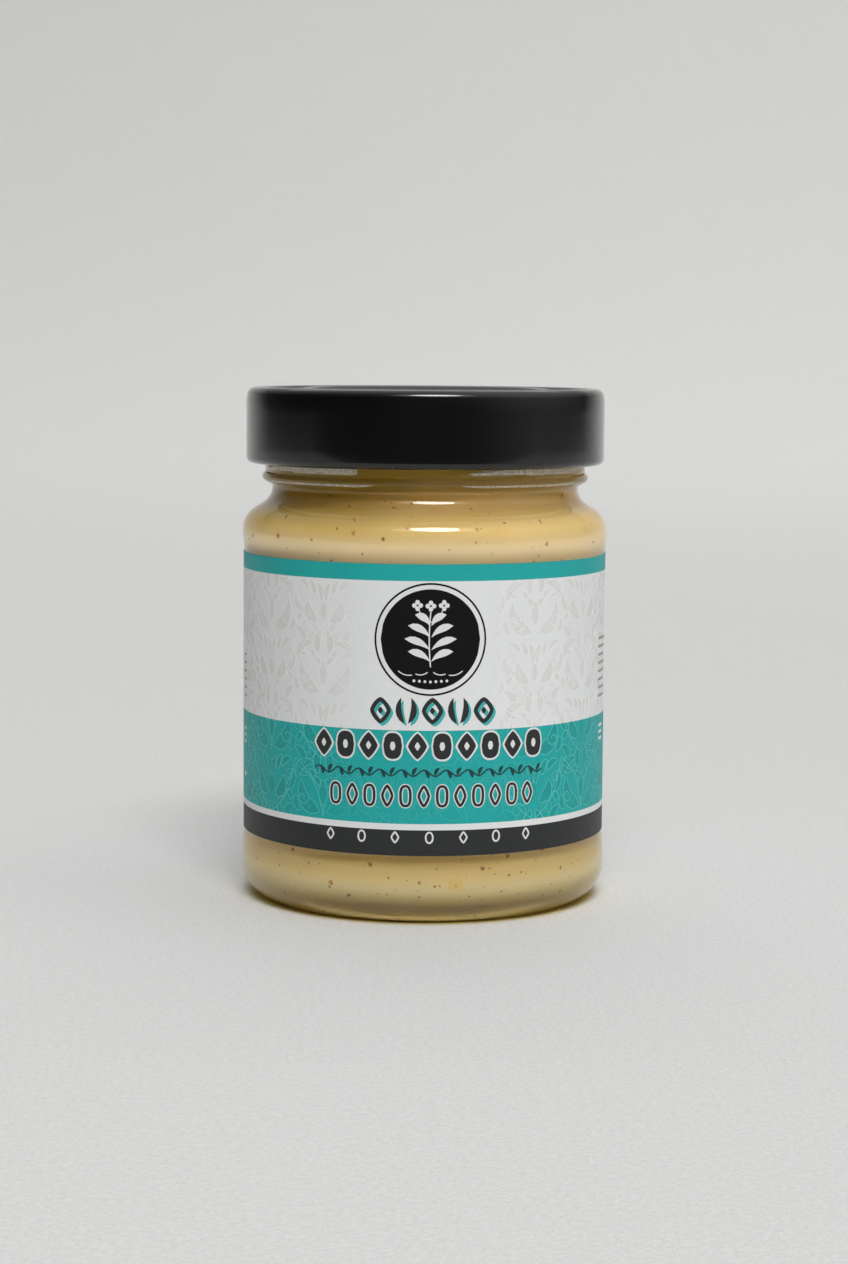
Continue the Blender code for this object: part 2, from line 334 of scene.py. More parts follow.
inner_round_middle = (BORE_RADIUS + LIP_INNER_ROUND, LIP_HEIGHT - LIP_INNER_ROUND)
lip_inner = arc(*inner_round_middle, LIP_INNER_ROUND, 180, 90, step=15)
jar_shape = turned(inside_of_jar(0.0) + lip_inner + outside_of_jar(), JAR_SIDES)
raise_lugs(jar_shape)
for face in jar_shape.faces:
    middle = face.calc_center_median()
    radius = middle.xy.length
    on_lug = middle.z > LUG_BASE and radius > FINISH_RADIUS + 0.12 * MM
    on_foot = middle.z < 0.4 * MM and radius > FOOT_INNER_RADIUS
    along = (past_lug_end(middle) + BEAD_STIPPLE_MARGIN) % (360 / LUG_COUNT)
    from_ends = min(along, LUG_TURN + LUG_TIP_TURN + BEAD_STIPPLE_MARGIN - along)
    strip_tall = BEAD_STIPPLE_TALL * min(1.0, from_ends / BEAD_STIPPLE_MARGIN)
    below_crest = BEAD_HEIGHT - BEAD_STIPPLE_DROP - middle.z
    on_bead = 0 < below_crest < strip_tall and radius > NECK_RADIUS + 0.9 * MM
    face.material_index = int(on_lug or on_foot or on_bead)
jar = as_piece("glass_jar", jar_shape, [clear_glass, stippled_glass], sharp=50)
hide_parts("jar")


# The filling: a smooth yellow-tan paste with ground seed hulls in it, poured in warm so that it lies
# against the glass all over. It reaches a little way into the wall here, so that no air shows between
# them. It fills the neck too, where the lid's shade is painted into its colour as a deeper, browner tone.
MUSTARD_LEVEL = 82.0 * MM
MUSTARD_SIDES = 160
INTO_GLASS = 0.05 * MM
MUSTARD_TONES = ((0.955, 0.697, 0.258), (0.975, 0.732, 0.306))
PAINTED_REFLECTION_TONE = (1.0, 0.815, 0.49)
HEEL_BOUNCE_TONE = (1.0, 0.755, 0.30)
JAR_FLOOR_BOUNCE_TONE = (1.0, 0.845, 0.48)
PAINTED_SHADE_TONE = (0.53, 0.365, 0.05)
WHOLE_SEED = (5.6 * MM, -30.0 * MM, 6.9 * MM)
WHOLE_SEED_TONE = (1.0, 0.74, 0.27)
SEED_TONE = (0.90, 0.60, 0.24)
SMUDGE_TONE = (0.50, 0.26, 0.18)
LARGE_HULL_TONES = ((0.60, 0.16, 0.03), (0.40, 0.08, 0.02))
FINE_HULL_TONES = ((0.56, 0.15, 0.03), (0.36, 0.07, 0.02))

paste = Finish("mustard paste")


def vector_maths(operation, sockets):
    """The outputs of a Vector Math node in the paste's material."""
    return paste.add("ShaderNodeVectorMath", {"operation": operation}, sockets)


def rising(start, end):
    """0 at the one height and 1 at the other, in millimetres, and smooth between them."""
    return paste.ease(paste.z, start * MM, end * MM)


def specks(spacing, least, most, share, soft=0.25):
    """1 on specks, one in a share of all cubes of that spacing, and a lot for the tone of each."""
    sockets = {"Vector": uneven, "Scale": 1 / spacing}
    cells = paste.add("ShaderNodeTexVoronoi", {}, sockets)
    lots = paste.add("ShaderNodeSeparateColor", {}, {"Color": cells["Color"]})
    reach = (least + lots["Red"] * lots["Red"] * (most - least)) * (1 / spacing)
    inside = paste.ease(reach - cells["Distance"], 0.0, soft * most / spacing)
    return inside * (lots["Green"] < share), lots["Blue"]


# The specks lie by an uneven copy of the coordinates, so that none of them is round.
jitter = paste.add("ShaderNodeTexNoise", {}, {"Vector": paste.place, "Scale": 1900, "Detail": 2.0})["Color"]
jitter = vector_maths("SUBTRACT", {0: jitter, 1: (0.5, 0.5, 0.5)})["Vector"]
jitter = vector_maths("SCALE", {0: jitter, "Scale": 0.7 * MM})["Vector"]
uneven = vector_maths("ADD", {0: paste.place, 1: jitter})["Vector"]

# The paste is painted paler close above the label, a painted reflection, and towards the heel, painted
# light bounced up from the floor. It is painted deeper in the neck under the lid and on the left of the
# shoulder, as painted shade. One pale whole seed lies against the glass low down.
base = paste.mix(paste.ease(paste.cloud(110, 3.0), 0.35, 0.65), *MUSTARD_TONES)
# Painted light: the paler band just above the label stands in for a reflection there.
base = paste.mix(rising(60, 62) * rising(68.6, 65.8), base, PAINTED_REFLECTION_TONE)
# Painted light: the paste is paler towards the bottom, for light bounced up from the floor.
base = paste.mix(rising(16, 9), base, HEEL_BOUNCE_TONE)
base = paste.mix(rising(9, 5.5), base, JAR_FLOOR_BOUNCE_TONE)
# Painted shade: the shoulder's left half, away from the light, is darkened with the same tone.
left_shade_mask = paste.ease(paste.x, 2 * MM, -14 * MM)
base = paste.mix(left_shade_mask * (rising(66.5, 69.5) * rising(75, 71)) * 0.45, base, PAINTED_SHADE_TONE)
# Painted shade: the paste under the lid is darkened into its colour, starting lower on the left.
neck_shade_height = paste.z - paste.x.maths("MINIMUM", paste.x, 0.0) * 0.25
base = paste.mix(paste.ease(neck_shade_height, 73.5 * MM, 79 * MM), base, PAINTED_SHADE_TONE)
smudge = specks(spacing=5.0 * MM, least=0.5 * MM, most=1.3 * MM, share=0.4, soft=0.9)[0]
base = paste.mix(smudge * 0.22, base, SMUDGE_TONE)
seed = specks(spacing=13.0 * MM, least=0.8 * MM, most=1.3 * MM, share=0.12, soft=0.1)[0]
base = paste.mix(seed * 0.8, base, SEED_TONE)
from_seed = vector_maths("DISTANCE", {0: uneven, 1: WHOLE_SEED})["Value"]
base = paste.mix(paste.ease(from_seed, 1.45 * MM, 1.2 * MM), base, WHOLE_SEED_TONE)
clear_of_bead = rising(76.5, 75)
large, lot = specks(spacing=3.0 * MM, least=0.30 * MM, most=0.66 * MM, share=0.68)
base = paste.mix(large * clear_of_bead * (0.65 + lot * 0.3), base, paste.mix(lot, *LARGE_HULL_TONES))
fine, lot = specks(spacing=1.7 * MM, least=0.14 * MM, most=0.42 * MM, share=0.75)
base = paste.mix(fine * clear_of_bead * (0.55 + lot * 0.4), base, paste.mix(lot, *FINE_HULL_TONES))
paste.shade({
    "Base Color": base,
    "Roughness": 0.42 + paste.cloud(300, 2.0) * 0.15,
    "Specular IOR Level": 0.15,
    "Normal": paste.bump(paste.cloud(260, 3.0), 0.05 * MM),
})

skin = [point for point in inside_of_jar(INTO_GLASS) if point[1] < MUSTARD_LEVEL - 0.3 * MM]
brim = BORE_RADIUS + INTO_GLASS
top = [(brim, MUSTARD_LEVEL), (brim - 0.35 * MM, MUSTARD_LEVEL - 0.08 * MM)]
for share in (0.96, 0.9, 0.8, 0.65, 0.5, 0.35, 0.2, 0.1, 0.0):
    top.append((brim * share, MUSTARD_LEVEL - 0.25 * MM - 0.35 * MM * (1 - share)))
filling_shape = turned(skin + top, MUSTARD_SIDES)
for vert in filling_shape.verts:
    from_wall = brim - vert.co.xy.length
    if vert.co.z > MUSTARD_LEVEL - 1.0 * MM and from_wall > 0.5 * MM:
        fade = min(1.0, from_wall / (4 * MM))
        vert.co.z += 0.35 * MM * fade * noise.noise(vert.co * 90)
filling = as_piece("mustard_filling", filling_shape, [paste])
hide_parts("mustard")


# The label: coated white paper, glued once round the straight side and left open by a finger's width
# at the back. It is printed edge to edge in flat teal and black bands, with a pale stripe between.
LABEL_RADIUS = 33.3 * MM
LABEL_THICKNESS = 0.12 * MM
LABEL_OPEN = (90.0, 97.5)
LABEL_SIDES = 240
BLACK_TOP = 17.0 * MM
FIELD_FOOT = 18.1 * MM
FIELD_SPLIT = 34.5 * MM
FIELD_TOP = 60.5 * MM
BAND_EDGES = (LABEL_BOTTOM, BLACK_TOP, FIELD_FOOT, FIELD_SPLIT, FIELD_TOP, LABEL_TOP)
# The places in the sheet's list of materials, and which of them each band has, from the bottom up.
WHITE_PLACE, TEAL_PLACE, BLACK_PLACE = 0, 1, 2
BAND_PLACES = (BLACK_PLACE, WHITE_PLACE, TEAL_PLACE, WHITE_PLACE, TEAL_PLACE)

WHITE = (0.80, 0.815, 0.81)
TEAL = (0.006, 0.40, 0.385)
BLACK = (0.018, 0.0195, 0.020)


def on_paper(finish, colour, sheen=0.45):
    """Coated paper of that colour, with its sheen and its own fine tooth."""
    finish.shade({
        "Base Color": colour,
        "Roughness": 0.46 + finish.cloud(700, 2.0) * 0.12,
        "Specular IOR Level": sheen,
        "Normal": finish.bump(finish.cloud(2600, 2.0), 0.012 * MM),
    })
    return finish


def printed(name, colour, mottle, sheen=0.45):
    """Paper with that ink on it, as uneven as offset print."""
    finish = Finish(name)
    patchy = finish.ease(finish.cloud(140, 3.0) * 0.6 + finish.cloud(900, 2.0) * 0.4, 0.3, 0.7)
    darker = tuple(channel * (1 - mottle) for channel in colour)
    return on_paper(finish, finish.mix(patchy, darker, colour), sheen)


white_paper = printed("white label paper", WHITE, 0.02)
teal_ink = printed("teal ink", TEAL, 0.06)
black_ink = printed("black ink", BLACK, 0.12)

sheet = bmesh.new()
edge_line = [sheet.verts.new((LABEL_RADIUS, 0.0, height)) for height in BAND_EDGES]
for first, second in zip(edge_line, edge_line[1:]):
    sheet.edges.new((first, second))
open_from, open_to = [math.radians(turn) for turn in LABEL_OPEN]
bmesh.ops.rotate(sheet, verts=sheet.verts, cent=(0, 0, 0), matrix=Matrix.Rotation(open_to, 3, "Z"))
bmesh.ops.spin(
    sheet, geom=sheet.verts[:] + sheet.edges[:], axis=(0, 0, 1), cent=(0, 0, 0),
    angle=2 * math.pi - (open_to - open_from), steps=LABEL_SIDES,
)
bmesh.ops.remove_doubles(sheet, verts=sheet.verts, dist=CLOSEST)
for face in sheet.faces:
    middle = face.calc_center_median()
    edges_below = sum(middle.z > edge for edge in BAND_EDGES)
    face.material_index = BAND_PLACES[edges_below - 1]
    if face.normal.dot(middle) < 0:
        face.normal_flip()
bmesh.ops.solidify(sheet, geom=sheet.faces[:], thickness=LABEL_THICKNESS)
label = as_piece("paper_label", sheet, [white_paper, teal_ink, black_ink])
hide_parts("label")


# The print: inks laid on the bands as films a few hundredths of a millimetre thick. A damask of drops,
# leaves and curls in a deeper shade covers the white and the teal field and fades towards the front's
# middle, where a sprig in a ring stands over rows of plain ornament. Ruled lines end it at both sides.
PRINT_MIDDLE = 2.0
INK_SINK = 0.01 * MM
DAMASK_LIFT = 0.010 * MM
DAMASK_LINE_LIFT = 0.018 * MM
UNDER_LIFT = 0.028 * MM
BLACK_LIFT = 0.038 * MM
OVER_LIFT = 0.048 * MM
# The print is drawn flat, in millimetres across from the front's middle and up from the floor.
TILE_WIDTH = 13.08
TILE_HEIGHT = 21.2
TILE_COLUMNS = 16
PRINT_REACH = (-101.2, 103.2)
SAME_POINT = 0.001


def sides_of(path, half_widths):
    """The points to the right and to the left of a line, that far from it at each of its points."""
    points = [Vector(point) for point in path]
    closed = (points[0] - points[-1]).length < SAME_POINT
    before = [points[-2] if closed else points[0]] + points[:-1]
    after = points[1:] + [points[1] if closed else points[-1]]
    rights, lefts = [], []
    for point, half, first, last in zip(points, half_widths, before, after):
        along = (last - first).normalized()
        left = Vector((-along.y, along.x)) * half
        rights.append(point - left)
        lefts.append(point + left)
    return rights, lefts


def ribbon(flat, path, half_widths):
    """Adds a strip along a line of points, in millimetres, as wide on each side as told at each."""
    strip = bmesh.ops.create_grid(flat, x_segments=len(path) - 1, y_segments=1, size=1.0)["verts"]
    strip.sort(key=lambda vert: (vert.co.y, vert.co.x))
    rights, lefts = sides_of(path, half_widths)
    for vert, point in zip(strip, rights + lefts):
        vert.co.xy = point
    if (rights[0] - rights[-1]).length < SAME_POINT:
        bmesh.ops.remove_doubles(flat, verts=strip, dist=SAME_POINT)


def line(flat, path, half_width):
    """Adds a strip of even width."""
    ribbon(flat, path, [half_width] * len(path))


def bowed(start, end, bow, steps=6):
    """Points from start to end on a line that bows to its left."""
    first, last = Vector(start), Vector(end)
    left = Vector((first.y - last.y, last.x - first.x)).normalized() * bow
    shares = [i / steps for i in range(steps + 1)]
    return [tuple(first.lerp(last, share) + left * 4 * share * (1 - share)) for share in shares]


def swelling(steps, widest, at=0.5):
    """Half widths of a drop that is widest at that share of its length."""
    bend = math.log(0.5) / math.log(at)
    return [0.03 + widest * math.sin(math.pi * (i / steps) ** bend) ** 0.8 for i in range(steps + 1)]


def curl(centre, start, turns, first_radius, last_radius, steps):
    """Points on a spiral, with its start in degrees."""
    points = []
    for i in range(steps + 1):
        turn = math.radians(start + 360 * turns * i / steps)
        radius = first_radius + (last_radius - first_radius) * i / steps
        points.append((centre[0] + radius * math.cos(turn), centre[1] + radius * math.sin(turn)))
    return points


def edge_of(path, half_widths, margin):
    """The closed line just outside a strip."""
    rights, lefts = sides_of(path, [half + margin for half in half_widths])
    return rights + lefts[::-1] + rights[:1]


def rounded(centre, width, height, power, steps=16):
    """The closed line of a lozenge (power 1), an oval (2) or a fuller shape (4)."""
    points = []
    for i in range(steps + 1):
        turn = 2 * math.pi * i / steps
        across, up = math.cos(turn), math.sin(turn)
        across = math.copysign(abs(across) ** (2 / power), across)
        up = math.copysign(abs(up) ** (2 / power), up)
        points.append((centre[0] + width / 2 * across, centre[1] + height / 2 * up))
    return points


def blot(flat, centre, width, height, power, steps=12):
    """Adds a filled lozenge, oval or fuller shape."""
    shares = [i / steps for i in range(steps + 1)]
    path = [(centre[0] + width * (share - 0.5), centre[1]) for share in shares]
    halves = [height / 2 * max(0.0, 1 - abs(2 * share - 1) ** power) ** (1 / power) for share in shares]
    ribbon(flat, path, [max(half, 0.02) for half in halves])


def laid_on(name, flat, lift, finishes):
    """Wraps flat shapes round the label as a film that is keyed a little into the paper.

    Where two inks are given, the second is for what lies below the split, on the teal.
    """
    for face in flat.faces:
        below_split = face.calc_center_median().y < FIELD_SPLIT / MM
        face.material_index = int(len(finishes) > 1 and below_split)
    for vert in flat.verts:
        turn = vert.co.x * MM / LABEL_RADIUS + math.radians(PRINT_MIDDLE)
        radius, height = LABEL_RADIUS + lift, vert.co.y * MM
        vert.co = (radius * math.sin(turn), -radius * math.cos(turn), height)
    flat.normal_update()
    bmesh.ops.solidify(flat, geom=flat.faces[:], thickness=lift + INK_SINK)
    film = as_piece(name, flat, finishes)
    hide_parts("label")


def verts_in(parts):
    """The vertices among the parts of a shape."""
    return [part for part in parts if isinstance(part, bmesh.types.BMVert)]


def faded(name, plain, inked, start, end, least):
    """Ink that fades into the plain colour from end to start, in millimetres off the front's middle."""
    finish = Finish(name)
    aside = (finish.x * finish.x) ** 0.5
    share = finish.ease(aside, start * MM, end * MM)
    share = share.maths("MAXIMUM", share, finish.y > 0.0) * (1 - least) + least
    patchy = finish.ease(finish.cloud(150, 3.0), 0.25, 0.6) * 0.5 + 0.5
    return on_paper(finish, finish.mix(share * patchy, plain, inked))


# One repeat of the damask, of which each drop has a fine pale edge. Half of it is drawn, and the other
# half mirrors it. Every second column stands half a repeat higher.
drops = [
    (bowed((0.9, 1.2), (4.9, 6.6), -1.5), swelling(6, 1.15, 0.35)),
    (bowed((5.9, 6.9), (2.2, 9.8), -1.2), swelling(6, 0.72, 0.4)),
    (bowed((1.0, 8.0), (0.5, 12.2), -0.6), swelling(6, 0.62, 0.45)),
    (bowed((4.2, 9.6), (6.3, 12.4), 0.6), swelling(6, 0.6, 0.4)),
    (bowed((1.3, 13.6), (3.5, 17.4), -0.9), swelling(6, 0.95, 0.4)),
    (bowed((4.3, 15.0), (6.2, 18.8), -0.7), swelling(6, 0.66, 0.45)),
    (bowed((0.5, 17.0), (1.4, 20.4), 0.5), swelling(6, 0.5, 0.5)),
    (bowed((3.2, 19.0), (5.6, 20.6), 0.5), swelling(6, 0.42, 0.5)),
    (bowed((5.3, 1.0), (6.2, 3.6), -0.4), swelling(6, 0.45, 0.5)),
    (bowed((2.0, 7.0), (2.9, 8.4), 0.3), swelling(6, 0.34, 0.5)),
    (bowed((0.6, 5.6), (2.2, 7.2), 0.4), swelling(6, 0.36, 0.5)),
    (bowed((3.5, 7.6), (6.0, 8.9), -0.4), swelling(6, 0.34, 0.6)),
    (bowed((5.6, 13.4), (4.6, 14.9), -0.3), swelling(6, 0.38, 0.4)),
    (bowed((1.9, 18.3), (3.0, 20.9), 0.3), swelling(6, 0.42, 0.4)),
]
curls = [
    (curl((5.2, 17.6), 30, 1.15, 1.25, 0.3, 12), [0.30 - 0.013 * i for i in range(13)]),
    (curl((3.3, 12.2), -100, -1.35, 1.9, 0.3, 16), [0.42 - 0.016 * i for i in range(17)]),
    (curl((4.5, 3.4), 150, 1.1, 1.5, 0.3, 12), [0.34 - 0.014 * i for i in range(13)]),
]
stems = [bowed((0.0, 0.3), (6.4, 10.4), 1.5, 10), bowed((0.2, 10.6), (6.5, 20.8), -1.6, 10)]

damask_shapes, damask_lines = bmesh.new(), bmesh.new()
for side in (1, -1):
    for path, halves in drops + curls:
        path = [(side * across, up) for across, up in path]
        ribbon(damask_shapes, path, halves)
    for path, halves in drops:
        path = [(side * across, up) for across, up in path]
        line(damask_lines, edge_of(path, halves, 0.16), 0.075)
    for path in stems + [path for path, halves in curls]:
        line(damask_lines, [(side * across, up) for across, up in path], 0.09)
blot(damask_shapes, (0.0, 4.6), 1.5, 4.2, 1.6)
line(damask_lines, rounded((0.0, 4.6), 1.9, 4.7, 1.6), 0.075)
blot(damask_shapes, (0.0, 15.4), 1.2, 3.0, 1.6)
for damask in (damask_shapes, damask_lines):
    tile = damask.verts[:] + damask.edges[:] + damask.faces[:]
    for column in range(TILE_COLUMNS):
        for row in range(-1, 3):
            copy = bmesh.ops.duplicate(damask, geom=tile)["geom"]
            across = (column - TILE_COLUMNS / 2 + 0.5) * TILE_WIDTH
            up = FIELD_FOOT / MM + (row + 0.5 * (column % 2)) * TILE_HEIGHT
            bmesh.ops.translate(damask, verts=verts_in(copy), vec=(across, up, 0))
    bmesh.ops.delete(damask, geom=verts_in(tile))
    # It ends at the field's edges, and a cut along the split lets each side of it have its own ink.
    cuts = [((0, FIELD_FOOT / MM, 0), (0, -1, 0), True), ((0, FIELD_TOP / MM, 0), (0, 1, 0), True)]
    cuts += [((PRINT_REACH[0], 0, 0), (-1, 0, 0), True), ((PRINT_REACH[1], 0, 0), (1, 0, 0), True)]
    cuts += [((0, FIELD_SPLIT / MM, 0), (0, 1, 0), False)]
    for place, outwards, clears in cuts:
        bmesh.ops.bisect_plane(
            damask, geom=damask.verts[:] + damask.edges[:] + damask.faces[:], plane_co=place,
            plane_no=outwards, clear_outer=clears,
        )
shape_inks = [
    faded("damask on white", WHITE, (0.715, 0.715, 0.69), 10, 16, 0.0),
    faded("damask on teal", TEAL, (0.004, 0.32, 0.305), 13, 20, 0.3),
]
line_inks = [
    faded("pale line on white", WHITE, (0.84, 0.855, 0.85), 10, 16, 0.0),
    faded("pale line on teal", TEAL, (0.09, 0.54, 0.52), 13, 20, 0.3),
]
laid_on("label_damask_shapes", damask_shapes, DAMASK_LIFT, shape_inks)
laid_on("label_damask_lines", damask_lines, DAMASK_LINE_LIFT, line_inks)

# The ring and its black disc stand alone on the white, with a pale sprig of leaves and four-petalled
# flowers in them over a row of seeds.
BADGE = (0.0, 50.4)
disc_flat, black_flat, over_flat, under_flat = [bmesh.new() for i in range(4)]
line(disc_flat, rounded(BADGE, 19.3, 19.3, 2, 72), 0.16)
blot(disc_flat, BADGE, 17.4, 17.4, 2, 48)
line(over_flat, bowed((0.0, 45.6), (0.0, 55.2), 0.25, 8), 0.11)
for side in (1, -1):
    for height, reach, rise in ((46.6, 3.9, 1.7), (48.6, 4.5, 1.9), (50.8, 3.9, 2.0), (52.8, 2.7, 1.9)):
        leaf = bowed((side * 0.15, height), (side * reach, height + rise), side * 0.5)
        ribbon(over_flat, leaf, swelling(6, 0.62, 0.6))
    line(over_flat, bowed((0.0, 53.4), (side * 2.1, 55.9), -side * 0.5), 0.08)
    line(over_flat, bowed((side * 2.6, 44.4), (side * 0.5, 44.7), side * 0.3), 0.09)
    line(over_flat, bowed((side * 5.6, 44.9), (side * 3.2, 44.2), side * 0.3), 0.09)
for middle in ((0.0, 56.2), (2.3, 56.3), (-2.3, 56.3)):
    for across, up in ((0.55, 0), (-0.55, 0), (0, 0.55), (0, -0.55)):
        blot(over_flat, (middle[0] + across, middle[1] + up), 0.82, 0.82, 2, 6)
for i in range(7):
    blot(over_flat, ((i - 3) * 0.95, 43.2 - 0.06 * (3 - abs(i - 3))), 0.5, 0.5, 2, 6)

# Under it come five open lozenges and leaf pairs in black, each with a teal copy down to the right.
for flat, shift in ((under_flat, 0.42), (black_flat, 0.0)):
    for i in range(5):
        middle = ((i - 2) * 4.55 + 0.4 + shift, 37.95 - shift)
        if i % 2:
            for side in (1, -1):
                start = (middle[0] + side * 0.35, middle[1] - 2.2)
                leaf = bowed(start, (middle[0] + side * 0.9, middle[1] + 2.25), -side * 0.7)
                ribbon(flat, leaf, swelling(6, 0.52, 0.45))
        else:
            line(flat, rounded(middle, 3.0, 3.9, 1.35, 20), 0.36)
            blot(flat, middle, 0.9, 1.2, 1.35, 6)

# On the teal stand ten full shapes, lozenges and ovals in turn, with pale edges, then a thin vine, and
# then a dozen open ovals and lozenges. Seven small pale ones mark the black band.
pale_flat, vine_flat, grey_flat = bmesh.new(), bmesh.new(), bmesh.new()
for i in range(10):
    middle = ((i - 4.5) * 4.32, 31.75)
    power = (1.25, 2.4)[i % 2]
    blot(pale_flat, middle, 3.95 + 0.2 * (2 - power), 5.25, power, 16)
    blot(black_flat, middle, 3.3, 4.55, power, 16)
    blot(over_flat, middle, 0.95, 1.5, power, 6)
for i in range(12):
    middle = ((i - 5.5) * 3.2 + 0.6, 23.0)
    oval = rounded(middle, 1.75, 3.5, (2.6, 1.3)[i % 2], 20)
    line(pale_flat, oval, 0.42)
    line(black_flat, oval, 0.24)
for i in range(7):
    line(over_flat, rounded(((i - 3) * 6.0, 15.7), 1.25, 1.9, (1.2, 2.0)[i % 2], 16), 0.15)
vine = [(-21.3 + 42.6 * i / 132, 27.05 + 0.55 * math.sin(math.pi * i / 6)) for i in range(133)]
line(vine_flat, vine, 0.13)
for i in range(22):
    foot = (-20.3 + 1.936 * i, 27.05 + 0.5 * (-1) ** i)
    leaf = bowed(foot, (foot[0] + 0.7, foot[1] - 1.45 * (-1) ** i), 0.25)
    ribbon(vine_flat, leaf, swelling(6, 0.3, 0.55))

# Short ruled lines stand at both far edges, grey on the white field and pale on the teal.
for i in range(8):
    height = 48.4 - 1.5 * i
    line(grey_flat, between((39.6, height), (46.9 - 0.5 * (i % 3), height), 6), 0.24)
    if i > 1:
        line(grey_flat, between((-47.6, height - 0.6), (-44.4, height - 0.6), 4), 0.24)
for height in (32.4, 31.2, 30.0):
    line(pale_flat, between((40.6, height), (44.6, height), 5), 0.26)
    line(pale_flat, between((-47.4, height - 1.2), (-44.9, height - 1.2), 4), 0.26)
line(pale_flat, between((-47.0, 22.8), (-44.9, 22.8), 4), 0.4)

deep_black = printed("deep black ink", (0.004, 0.004, 0.004), 0.1, 0.16)
vine_ink = printed("dark teal ink", (0.006, 0.045, 0.048), 0.1)
light_teal_ink = printed("light teal ink", (0.05, 0.44, 0.43), 0.04)
grey_ink = printed("grey ink", (0.36, 0.355, 0.34), 0.15)
pale_ink = printed("pale ink", (0.78, 0.79, 0.78), 0.03)
laid_on("label_teal_copies", under_flat, UNDER_LIFT, [light_teal_ink])
laid_on("label_pale_edges", pale_flat, UNDER_LIFT, [pale_ink])
laid_on("label_vine", vine_flat, UNDER_LIFT, [vine_ink])
laid_on("label_ruled_lines", grey_flat, UNDER_LIFT, [grey_ink])
laid_on("label_black_ring_and_disc", disc_flat, BLACK_LIFT, [deep_black])
laid_on("label_black_print", black_flat, BLACK_LIFT, [black_ink])
laid_on("label_pale_print", over_flat, OVER_LIFT, [pale_ink])


# The lid: one drawing of thin tinplate, lacquered satin black. Its wall is necked in a hair above the
# bottom, the lower edge is rolled inwards, and the top has a raised rim round a sunk panel.
LID_BOTTOM = 79.5 * MM
LID_TALL = 13.8 * MM
LID_RADIUS = 32.8 * MM
LID_NECKING = 0.1 * MM
LID_WALL = 0.45 * MM
LID_TOP_ROUND = 1.6 * MM
LID_CURL_ROUND = 1.15 * MM
LID_CURL_INNER_RADIUS = 30.9 * MM
LID_RIM_RADIUS = 31.1 * MM
LID_PANEL_RADIUS = 29.2 * MM
LID_PANEL_DROP = 1.05 * MM
LID_CENTRE_RADIUS = 22.5 * MM
LID_CENTRE_RISE = 0.25 * MM
LID_CENTRE_SLOPE = 1.5 * MM
LID_SIDES = 256
LACQUER_BLACK = (0.0025, 0.0025, 0.0026)
DUST_GREY = (0.22, 0.22, 0.22)

lacquer = Finish("black lacquer")
dust_spots = lacquer.add("ShaderNodeTexVoronoi", {}, {"Vector": lacquer.place, "Scale": 260})
dust_lots = lacquer.add("ShaderNodeSeparateColor", {}, {"Color": dust_spots["Color"]})
dust = (dust_spots["Distance"] < 0.035) * (dust_lots["Red"] > 0.72)
handled = lacquer.ease(lacquer.cloud(60, 4.0), 0.4, 0.75)
lacquer.shade({
    "Base Color": lacquer.mix(dust * 0.5, LACQUER_BLACK, DUST_GREY),
    "Roughness": 0.30 + handled * 0.08 + dust * 0.3,
    "Specular IOR Level": 0.08,
    "Coat Weight": 1.0 - dust * 0.5,
    "Coat Roughness": 0.11,
    "Normal": lacquer.bump(lacquer.cloud(900, 2.0), 0.006 * MM),
})


def lid_profile():
    """The lid's sheet, from the middle of the top, down the outside, and back up the inside."""
    panel = LID_TALL - LID_PANEL_DROP
    centre = panel + LID_CENTRE_RISE
    corner = LID_RADIUS - LID_NECKING - LID_TOP_ROUND
    inner = LID_RADIUS - LID_WALL
    slope_end = LID_CENTRE_RADIUS + LID_CENTRE_SLOPE
    outside = [(0.0, centre), (0.5 * LID_CENTRE_RADIUS, centre), (LID_CENTRE_RADIUS, centre)]
    outside += [(LID_CENTRE_RADIUS + 0.35 * LID_CENTRE_SLOPE, centre - 0.15 * LID_CENTRE_RISE)]
    outside += [(LID_CENTRE_RADIUS + 0.65 * LID_CENTRE_SLOPE, panel + 0.15 * LID_CENTRE_RISE)]
    outside += [(slope_end, panel), (LID_PANEL_RADIUS - 0.4 * MM, panel)]
    outside += [(LID_PANEL_RADIUS + 0.1 * MM, panel + 0.1 * MM)]
    outside += [(LID_PANEL_RADIUS + 0.7 * MM, panel + 0.5 * LID_PANEL_DROP)]
    outside += [(LID_RIM_RADIUS - 0.8 * MM, LID_TALL - 0.2 * MM)]
    outside += [(LID_RIM_RADIUS - 0.4 * MM, LID_TALL - 0.05 * MM)]
    outside += arc(corner, LID_TALL - LID_TOP_ROUND, LID_TOP_ROUND, 90, 0, step=5)
    outside += [(LID_RADIUS, LID_TALL - LID_TOP_ROUND - 0.6 * MM)]
    outside += between(outside[-1], (LID_RADIUS, LID_CURL_ROUND), 4)
    outside += arc(LID_RADIUS - LID_CURL_ROUND, LID_CURL_ROUND, LID_CURL_ROUND, 0, -90, step=7)
    inside = [
        (LID_CURL_INNER_RADIUS + 0.35 * MM, 0.0),
        (LID_CURL_INNER_RADIUS + 0.1 * MM, 0.12 * MM),
        (LID_CURL_INNER_RADIUS, 0.4 * MM),
        (LID_CURL_INNER_RADIUS, 1.2 * MM),
        (LID_CURL_INNER_RADIUS + 0.4 * MM, 1.6 * MM),
        (inner, 2.2 * MM),
        (inner, LID_TALL - LID_TOP_ROUND),
        (LID_RIM_RADIUS, LID_TALL - LID_WALL - 0.05 * MM),
        (LID_RIM_RADIUS - 0.6 * MM, LID_TALL - LID_WALL - 0.2 * MM),
        (LID_PANEL_RADIUS - 0.1 * MM, panel - LID_WALL),
        (slope_end, panel - LID_WALL),
        (LID_CENTRE_RADIUS, centre - LID_WALL),
        (0.0, centre - LID_WALL),
    ]
    return [(radius, height + LID_BOTTOM) for radius, height in outside + inside]


lid = as_piece("lacquered_lid", turned(lid_profile(), LID_SIDES), [lacquer])
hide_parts("lid")
